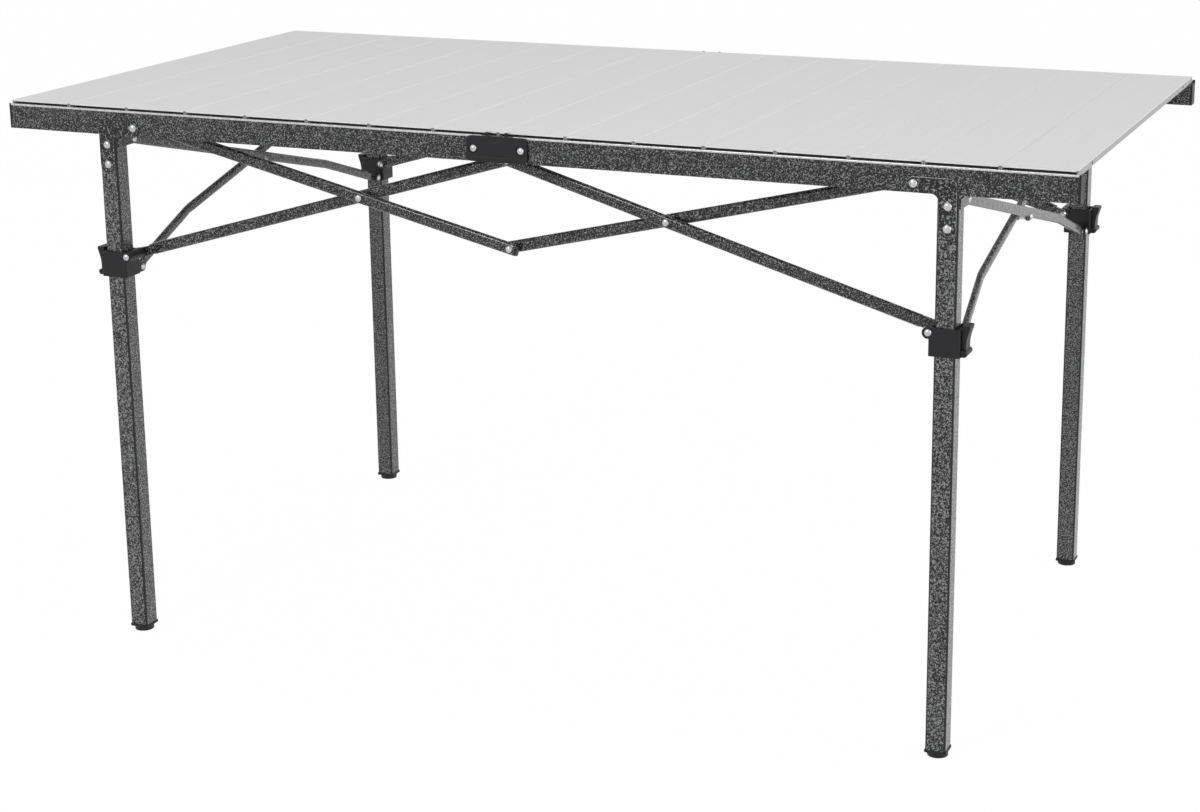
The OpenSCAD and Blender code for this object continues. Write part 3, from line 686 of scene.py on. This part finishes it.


# Slats: sixteen hollow aluminium extrusions with two webs inside and open ends, brushed along their length,
# clear anodised and strung side by side on two black elastic cords. Their sides are painted darker than
# their tops, a painted shade, and their edges are painted pale, a painted highlight.
def anodised_aluminium(name, darker, lighter):
    """Satin aluminium with fine lines along the slat, between two greys."""
    finish, nodes, links, shader, place = new_finish(name)
    along = nodes.new("ShaderNodeMapping")
    along.inputs["Scale"].default_value = (900, 4, 900)
    links.new(place, along.inputs["Vector"])
    brushed = nodes.new("ShaderNodeTexNoise")
    brushed.inputs["Scale"].default_value = 1
    brushed.inputs["Detail"].default_value = 4
    links.new(along.outputs["Vector"], brushed.inputs["Vector"])
    colour = colour_steps(nodes, links, brushed.outputs["Fac"], [(0.3, darker), (0.7, lighter)])
    links.new(colour, shader.inputs["Base Color"])
    gloss = colour_steps(nodes, links, brushed.outputs["Fac"], [(0.3, 0.66), (0.7, 0.76)])
    links.new(gloss, shader.inputs["Roughness"])
    lines = nodes.new("ShaderNodeBump")
    lines.inputs["Strength"].default_value = 0.05
    lines.inputs["Distance"].default_value = 0.0002
    links.new(brushed.outputs["Fac"], lines.inputs["Height"])
    links.new(lines.outputs["Normal"], shader.inputs["Normal"])
    shader.inputs["Metallic"].default_value = 0.15
    shader.inputs["Specular IOR Level"].default_value = 0.2
    return finish


def broken_edge():
    """Brighter metal on the slats' rounded edges and open ends: a painted highlight."""
    finish, nodes, links, shader, place = new_finish("broken_edge")
    worn = nodes.new("ShaderNodeTexNoise")
    worn.inputs["Scale"].default_value = 140
    links.new(place, worn.inputs["Vector"])
    colour = colour_steps(nodes, links, worn.outputs["Fac"],
                          [(0.3, (0.72, 0.72, 0.72)), (0.7, (0.82, 0.82, 0.82))])
    links.new(colour, shader.inputs["Base Color"])
    gloss = colour_steps(nodes, links, worn.outputs["Fac"], [(0.3, 0.34), (0.7, 0.46)])
    links.new(gloss, shader.inputs["Roughness"])
    shader.inputs["Metallic"].default_value = 0.5
    return finish


def braided_elastic():
    """Black cord with the small cells of its braid."""
    finish, nodes, links, shader, place = new_finish("braided_elastic")
    braid = nodes.new("ShaderNodeTexVoronoi")
    braid.inputs["Scale"].default_value = 1100
    links.new(place, braid.inputs["Vector"])
    colour = colour_steps(nodes, links, braid.outputs["Distance"], [(0.2, 0.022), (0.7, 0.008)])
    links.new(colour, shader.inputs["Base Color"])
    weave = nodes.new("ShaderNodeBump")
    weave.inputs["Strength"].default_value = 0.5
    weave.inputs["Distance"].default_value = 0.0004
    links.new(braid.outputs["Distance"], weave.inputs["Height"])
    links.new(weave.outputs["Normal"], shader.inputs["Normal"])
    shader.inputs["Roughness"].default_value = 0.8
    return finish


slat_finishes = [
    anodised_aluminium("anodised_top", (0.605, 0.605, 0.603), (0.66, 0.66, 0.658)),
    braided_elastic(),
    broken_edge(),
    anodised_aluminium("anodised_side", (0.37, 0.37, 0.37), (0.42, 0.42, 0.42)),
]
on_cord, on_edge, on_shaded_side = 1, 2, 3
slat_count, web_count = 16, 2
cord_proud, slat_wall, web_back, edge_break = 0.0002, 0.0018, 0.03, 0.0005
slat_low, slat_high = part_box("slat_01")
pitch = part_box("slat_02")[0][0] - slat_low[0]
side_low, side_high = slat_low[0] + cord_proud, slat_high[0] - cord_proud
slat = block((side_low, slat_low[1], slat_low[2]), (side_high, slat_high[1], slat_high[2]))
coated(slat, slat_finishes)
# The long edges are rounded with the pale finish: a painted highlight.
pick(slat, "EDGE", lambda at, way: abs(way.y) > 0.9)
bpy.ops.mesh.bevel(offset=edge_break, segments=3, affect="EDGES", material=on_edge)
done()
# The long sides take the darker copy of the anodised finish: painted shade.
for face in slat.data.polygons:
    if abs(face.normal.x) > 0.99:
        face.material_index = on_shaded_side
pick(slat, "FACE", lambda at, way: abs(way.y) > 0.9)
bpy.ops.mesh.delete(type="FACE")
done()
only(slat)
wall = slat.modifiers.new("wall", "SOLIDIFY")
wall.thickness = slat_wall
wall.offset = -1
# The rims round the open ends take the pale finish as well: a painted highlight.
wall.material_offset_rim = on_edge
bpy.ops.object.modifier_apply(modifier=wall.name)
cell = (side_high - side_low - (web_count + 2) * slat_wall) / (web_count + 1)
for web in range(1, web_count + 1):
    x = side_low + web * (cell + slat_wall)
    strip = block((x, slat_low[1] + web_back, slat_low[2] + slat_wall - hair),
                  (x + slat_wall, slat_high[1] - web_back, slat_high[2] - slat_wall + hair))
    coated(strip, slat_finishes)
    joined(slat, strip)
cords = without(copied("slat_01"), is_long)
coated(cords, slat_finishes, lambda size: on_cord)
joined(slat, cords)
rounded(slat)
for k in range(1, slat_count + 1):
    node = f"slat_{k:02d}"
    piece = slat.copy()
    piece.data = slat.data.copy()
    bpy.context.scene.collection.objects.link(piece)
    only(piece)
    piece.location = ((k - 1) * pitch, 0, 0)
    bpy.ops.object.transform_apply(location=True, rotation=False, scale=False)
    fitted(piece, node, node)
dropped(slat)


# Studio: a white floor that keeps a faint shadow, soft lamps on the right, in front and above,
# a sky that is dimmer in front, and a camera in front of the right-hand half of the table.
floor_size, floor_drop, paper_share = 40, 0.0005, 0.985
bpy.ops.object.select_all(action="DESELECT")
bpy.ops.mesh.primitive_plane_add(size=floor_size, location=(0, 0, -floor_drop))
floor = bpy.context.object
floor.name = "studio_floor"
white, nodes, links, shader, place = new_finish("studio_white")
shader.inputs["Base Color"].default_value = (0.9, 0.9, 0.9, 1)
shader.inputs["Roughness"].default_value = 0.9
shader.inputs["Specular IOR Level"].default_value = 0
paper = nodes.new("ShaderNodeEmission")
paper.inputs["Color"].default_value = (1, 1, 1, 1)
paper.inputs["Strength"].default_value = 1
blank = nodes.new("ShaderNodeMixShader")


def background_rays(nodes, links):
    """One for the rays that show the background: seen straight, mirrored or through something clear."""
    path = nodes.new("ShaderNodeLightPath")
    total = path.outputs["Is Camera Ray"]
    for kind in ["Is Glossy Ray", "Is Transmission Ray"]:
        either = nodes.new("ShaderNodeMath")
        either.operation = "MAXIMUM"
        links.new(total, either.inputs[0])
        links.new(path.outputs[kind], either.inputs[1])
        total = either.outputs["Value"]
    return total


faint_shadow = nodes.new("ShaderNodeMath")
faint_shadow.operation = "MULTIPLY"
faint_shadow.inputs[1].default_value = paper_share
links.new(background_rays(nodes, links), faint_shadow.inputs[0])
links.new(faint_shadow.outputs["Value"], blank.inputs["Fac"])
links.new(shader.outputs["BSDF"], blank.inputs[1])
links.new(paper.outputs["Emission"], blank.inputs[2])
links.new(blank.outputs["Shader"], nodes["Material Output"].inputs["Surface"])
floor.data.materials.append(white)

world = bpy.data.worlds.new("studio_world")
bpy.context.scene.world = world
world.use_nodes = True
nodes, links = world.node_tree.nodes, world.node_tree.links
aim = nodes.new("ShaderNodeTexCoord")
split = nodes.new("ShaderNodeSeparateXYZ")
links.new(aim.outputs["Generated"], split.inputs["Vector"])
toward = nodes.new("ShaderNodeMapRange")
toward.inputs["From Min"].default_value = -0.75
toward.inputs["From Max"].default_value = 0.1
toward.inputs["To Min"].default_value = 0.18
toward.inputs["To Max"].default_value = 0.85
links.new(split.outputs["Y"], toward.inputs["Value"])
level = nodes.new("ShaderNodeMix")
level.data_type = "FLOAT"
links.new(background_rays(nodes, links), level.inputs["Factor"])
links.new(toward.outputs["Result"], level.inputs["A"])
level.inputs["B"].default_value = 1
sky = nodes["Background"]
sky.inputs["Color"].default_value = (1, 1, 1, 1)
links.new(level.outputs["Result"], sky.inputs["Strength"])


def softbox(name, place, target, size, watts):
    """A square studio lamp that faces a point on the table."""
    lamp = bpy.data.lights.new(name, "AREA")
    lamp.size = size
    lamp.energy = watts
    box = bpy.data.objects.new(name, lamp)
    bpy.context.scene.collection.objects.link(box)
    box.location = place
    reach = [t - p for p, t in zip(place, target)]
    flat = math.hypot(reach[0], reach[1])
    box.rotation_euler = (math.atan2(flat, -reach[2]), 0, math.atan2(reach[1], reach[0]) - math.pi / 2)


softbox("softbox_right", place=(3.4, -0.2, 1.5), target=(0, 0, 0.45), size=2.2, watts=38)
softbox("softbox_front", place=(-0.7, -2.9, 2.9), target=(0, 0, 0.5), size=1.1, watts=42)
softbox("softbox_top", place=(0.2, 0.4, 3.4), target=(0, 0, 0.7), size=2.6, watts=9)

view = bpy.data.cameras.new("camera")
view.sensor_width = 36
view.lens = 70.88
view.shift_x = -0.063
view.shift_y = -0.08
camera = bpy.data.objects.new("camera", view)
bpy.context.scene.collection.objects.link(camera)
camera.location = (1.2209, -2.8411, 1.2010)
camera.rotation_euler = (1.3197, 0.00527, 0.37925)
bpy.context.scene.camera = camera
bpy.context.scene.view_settings.view_transform = "Standard"
